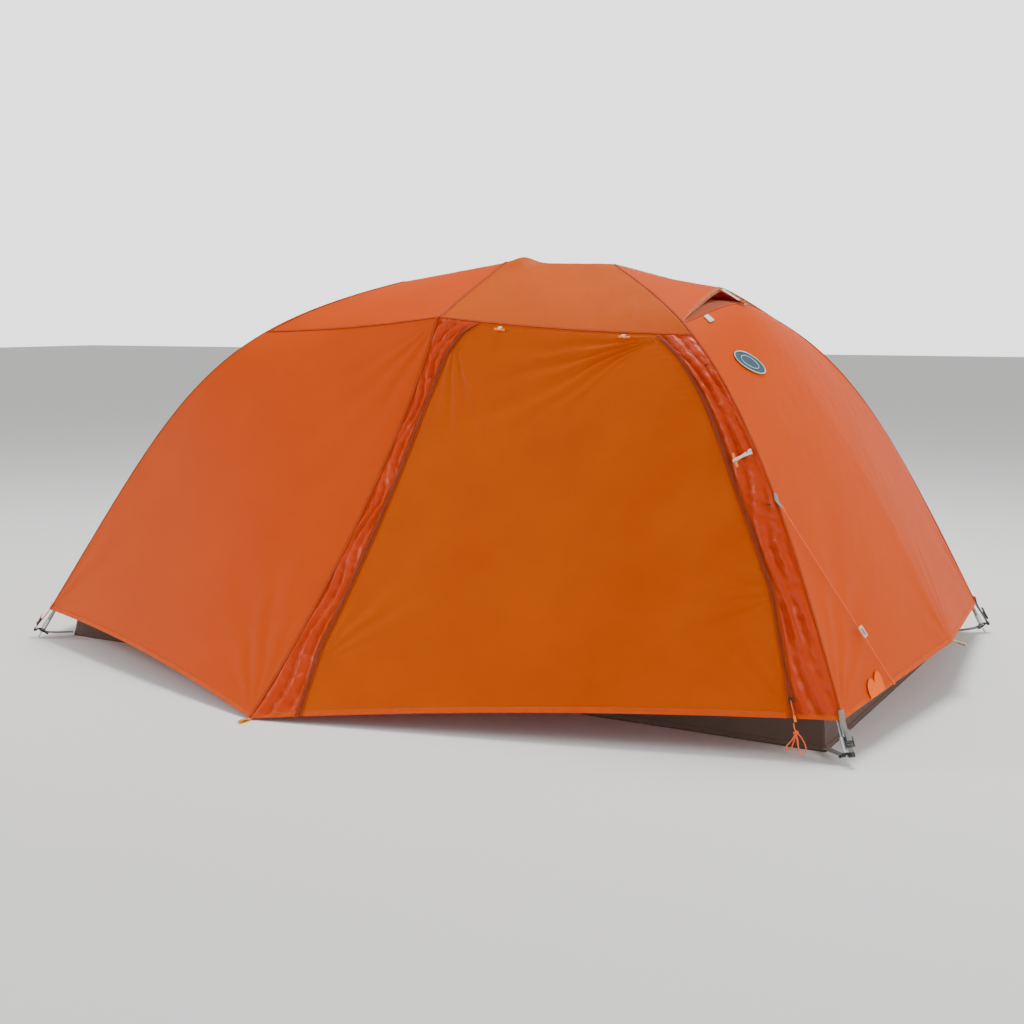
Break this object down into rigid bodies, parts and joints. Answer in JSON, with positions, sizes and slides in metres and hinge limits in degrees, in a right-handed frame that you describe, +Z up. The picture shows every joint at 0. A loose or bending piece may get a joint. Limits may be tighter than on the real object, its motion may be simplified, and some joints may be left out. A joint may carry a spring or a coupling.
{
  "type": "dome tent",
  "caption": "Dome tent on hubbed poles: tapered bathtub floor, netting inner and rain fly with a zipped door each side and a propped vent hood at the head end.",
  "frame": {"origin": "on the ground under the middle of the tent, the floor's underside and the pole tips at z = 0", "axes": "+X towards the head end with the vent, -Y towards the front door, +Z up"},
  "size_m": [2.5476, 2.1188, 1.0647],
  "materials": {
    "fly_nylon": "ripstop nylon, silicone coated, slight sheen",
    "tub_nylon": "coated nylon taffeta, matt",
    "polyester_mesh": "fine netting, matt",
    "canopy_nylon": "uncoated ripstop nylon, matt",
    "pole_aluminium": "anodised, satin",
    "tip_aluminium": "machined, satin",
    "black_acetal": "moulded, fine grain",
    "amber_acetal": "moulded, smooth",
    "white_webbing": "woven polyester webbing",
    "grey_webbing": "woven polyester webbing",
    "orange_cord": "braided polyester cord"
  },
  "bodies": {
    "base": {"head_hub": "black_acetal", "foot_hub": "black_acetal", "leg_pole_head_front": "pole_aluminium", "leg_pole_head_back": "pole_aluminium", "leg_pole_foot_front": "pole_aluminium", "leg_pole_foot_back": "pole_aluminium", "pole_tip_head_front": "tip_aluminium", "pole_tip_head_back": "tip_aluminium", "pole_tip_foot_front": "tip_aluminium", "pole_tip_foot_back": "tip_aluminium", "ridge_pole": "pole_aluminium", "brow_pole": "pole_aluminium", "brow_clip": "black_acetal", "brow_tip_front": "black_acetal", "brow_tip_back": "black_acetal", "tub_floor": "tub_nylon", "inner_wall_front": "polyester_mesh", "inner_wall_back": "polyester_mesh", "inner_end_head": "polyester_mesh", "inner_end_foot": "polyester_mesh", "inner_roof": "canopy_nylon", "corner_strap_head_front": "black_acetal", "corner_strap_head_back": "black_acetal", "corner_strap_foot_front": "black_acetal", "corner_strap_foot_back": "black_acetal"},
    "fly": {"fly_roof_head": "fly_nylon", "fly_roof_foot": "fly_nylon", "fly_end_head": "fly_nylon", "fly_end_foot": "fly_nylon", "fly_wall_front": "fly_nylon", "fly_wall_back": "fly_nylon", "fly_flap_front": "fly_nylon", "fly_flap_back": "fly_nylon", "vent_hood": "fly_nylon", "fly_strap_head_front": "grey_webbing", "fly_strap_head_back": "grey_webbing", "fly_strap_foot_front": "grey_webbing", "fly_strap_foot_back": "grey_webbing", "stake_loop_front": "white_webbing", "stake_loop_back": "white_webbing", "end_loop_head": "white_webbing", "end_loop_foot": "white_webbing", "guyline": "orange_cord", "spare_line": "orange_cord"},
    "door_front": {"door_front": "fly_nylon"},
    "inner_door_front": {"inner_door_front": "polyester_mesh"},
    "zip_front": {"zip_slider_front": "black_acetal"},
    "buckle_head_front": {"buckle_head_front": "black_acetal"},
    "buckle_foot_front": {"buckle_foot_front": "black_acetal"},
    "door_back": {"door_back": "fly_nylon"},
    "inner_door_back": {"inner_door_back": "polyester_mesh"},
    "zip_back": {"zip_slider_back": "black_acetal"},
    "buckle_head_back": {"buckle_head_back": "black_acetal"},
    "buckle_foot_back": {"buckle_foot_back": "black_acetal"},
    "toggle_a": {"toggle_a": "amber_acetal"},
    "toggle_b": {"toggle_b": "amber_acetal"},
    "flap_toggle": {"flap_toggle": "amber_acetal"},
    "vent_strut": {"vent_strut": "white_webbing"},
    "tensioner": {"guy_tensioner": "grey_webbing"}
  },
  "joints": [
    {"name": "fly_lift", "type": "slide", "parent": "base", "child": "fly", "axis": [0, 0, 1], "range_m": [0, 0.8]},
    {"name": "door_front", "type": "hinge", "parent": "fly", "child": "door_front", "pos_m": [0.36832, -0.382, 0.87375], "axis": [-0.9974, 0.0516, 0.0509], "range_deg": [0, 80]},
    {"name": "inner_door_front", "type": "hinge", "parent": "base", "child": "inner_door_front", "pos_m": [0.45033, -0.6076, 0.14083], "axis": [-0.9983, 0.0579, 0.0006], "range_deg": [0, 35]},
    {"name": "zip_front", "type": "slide", "parent": "fly", "child": "zip_front", "axis": [-0.2993, 0.3419, 0.8908], "range_m": [0, 0.15]},
    {"name": "buckle_head_front", "type": "slide", "parent": "fly", "child": "buckle_head_front", "axis": [-0.4086, 0.4111, 0.8149], "range_m": [0, 0.012]},
    {"name": "buckle_foot_front", "type": "slide", "parent": "fly", "child": "buckle_foot_front", "axis": [0.4552, 0.4402, 0.774], "range_m": [0, 0.012]},
    {"name": "door_back", "type": "hinge", "parent": "fly", "child": "door_back", "pos_m": [0.36832, 0.382, 0.87375], "axis": [0.9974, 0.0516, -0.0509], "range_deg": [0, 80]},
    {"name": "inner_door_back", "type": "hinge", "parent": "base", "child": "inner_door_back", "pos_m": [0.45033, 0.6076, 0.14083], "axis": [0.9983, 0.0579, -0.0006], "range_deg": [0, 35]},
    {"name": "zip_back", "type": "slide", "parent": "fly", "child": "zip_back", "axis": [-0.2993, -0.3419, 0.8908], "range_m": [0, 0.15]},
    {"name": "buckle_head_back", "type": "slide", "parent": "fly", "child": "buckle_head_back", "axis": [-0.4086, -0.4111, 0.8149], "range_m": [0, 0.012]},
    {"name": "buckle_foot_back", "type": "slide", "parent": "fly", "child": "buckle_foot_back", "axis": [0.4552, -0.4402, 0.774], "range_m": [0, 0.012]},
    {"name": "toggle_a", "type": "hinge", "parent": "door_front", "child": "toggle_a", "pos_m": [0.18912, -0.37678, 0.87294], "axis": [-0.0181, -0.8933, 0.4491], "range_deg": [-35, 35]},
    {"name": "toggle_b", "type": "hinge", "parent": "door_front", "child": "toggle_b", "pos_m": [0.53367, -0.39531, 0.85672], "axis": [-0.0277, -0.813, 0.5816], "range_deg": [-35, 35]},
    {"name": "flap_toggle", "type": "hinge", "parent": "fly", "child": "flap_toggle", "pos_m": [0.8653, -0.54013, 0.59274], "axis": [0.0272, -0.9279, 0.3718], "range_deg": [0, 90]},
    {"name": "vent_strut", "type": "hinge", "parent": "fly", "child": "vent_strut", "pos_m": [0.69359, 0, 0.93841], "axis": [0, 1, 0], "range_deg": [0, 120]},
    {"name": "tensioner", "type": "slide", "parent": "fly", "child": "tensioner", "axis": [-0.4611, -0.3043, 0.8335], "range_m": [-0.05, 0.29]}
  ]
}
